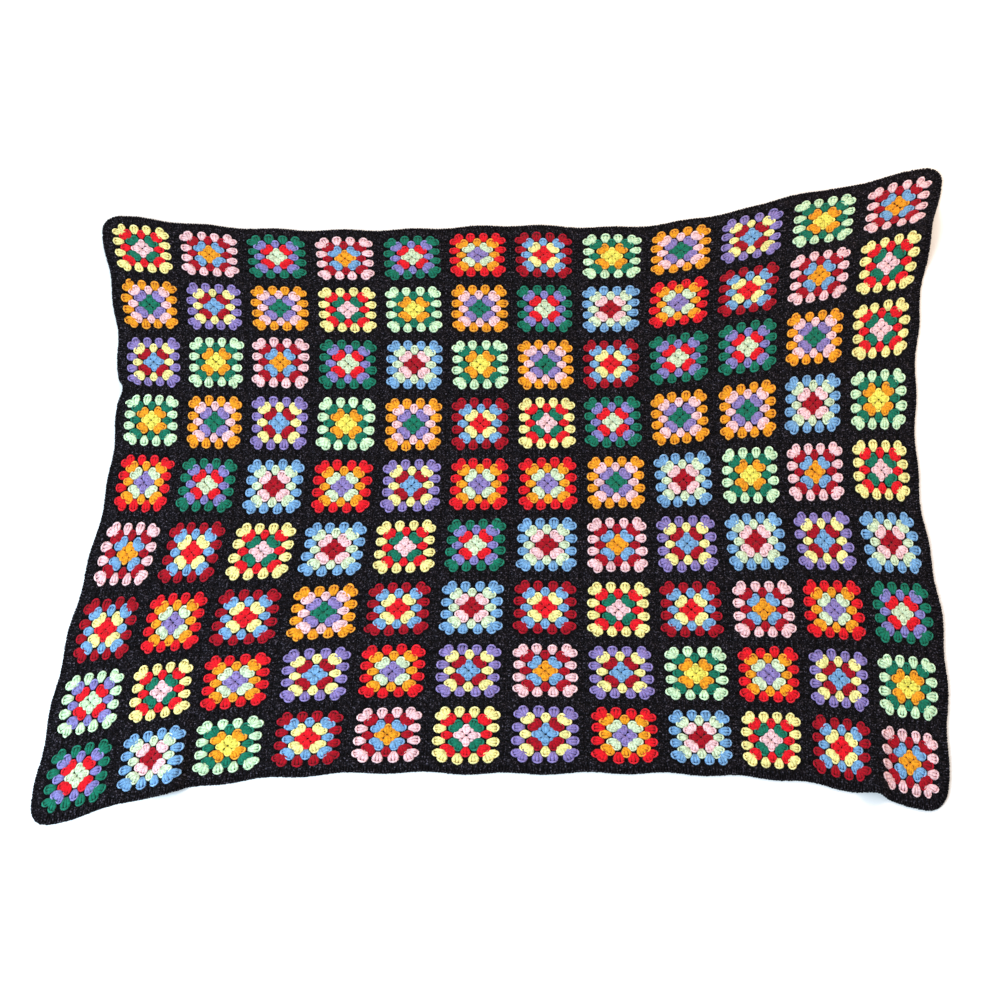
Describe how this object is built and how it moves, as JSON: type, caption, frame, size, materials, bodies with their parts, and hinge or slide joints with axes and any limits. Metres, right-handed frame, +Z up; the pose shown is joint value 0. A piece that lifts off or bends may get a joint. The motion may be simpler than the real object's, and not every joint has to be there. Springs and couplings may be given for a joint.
{
  "type": "granny square blanket",
  "caption": "Crocheted patchwork blanket of small multicoloured squares framed in black yarn, spread out loosely in soft folds.",
  "frame": {"origin": "middle of the blanket's outline, on the surface it lies on", "axes": "+X to the right along the longer sides, +Y away from the near side, +Z up"},
  "size_m": [1.5748, 1.2776, 0.0267],
  "materials": {
    "yarn_black": "matt wool, plied and crocheted",
    "yarn_edging": "matt wool, close treble stitches",
    "yarn_pale_yellow": "matt wool, plied and crocheted",
    "yarn_sun_yellow": "matt wool, plied and crocheted",
    "yarn_orange": "matt wool, plied and crocheted",
    "yarn_red": "matt wool, plied and crocheted",
    "yarn_dark_red": "matt wool, plied and crocheted",
    "yarn_pink": "matt wool, plied and crocheted",
    "yarn_mint": "matt wool, plied and crocheted",
    "yarn_pale_lime": "matt wool, plied and crocheted",
    "yarn_green": "matt wool, plied and crocheted",
    "yarn_blue": "matt wool, plied and crocheted",
    "yarn_purple": "matt wool, plied and crocheted",
    "yarn_lilac": "matt wool, plied and crocheted"
  },
  "bodies": {
    "root": {"joined_squares": "yarn_black", "edging": "yarn_edging"}
  },
  "joints": []
}
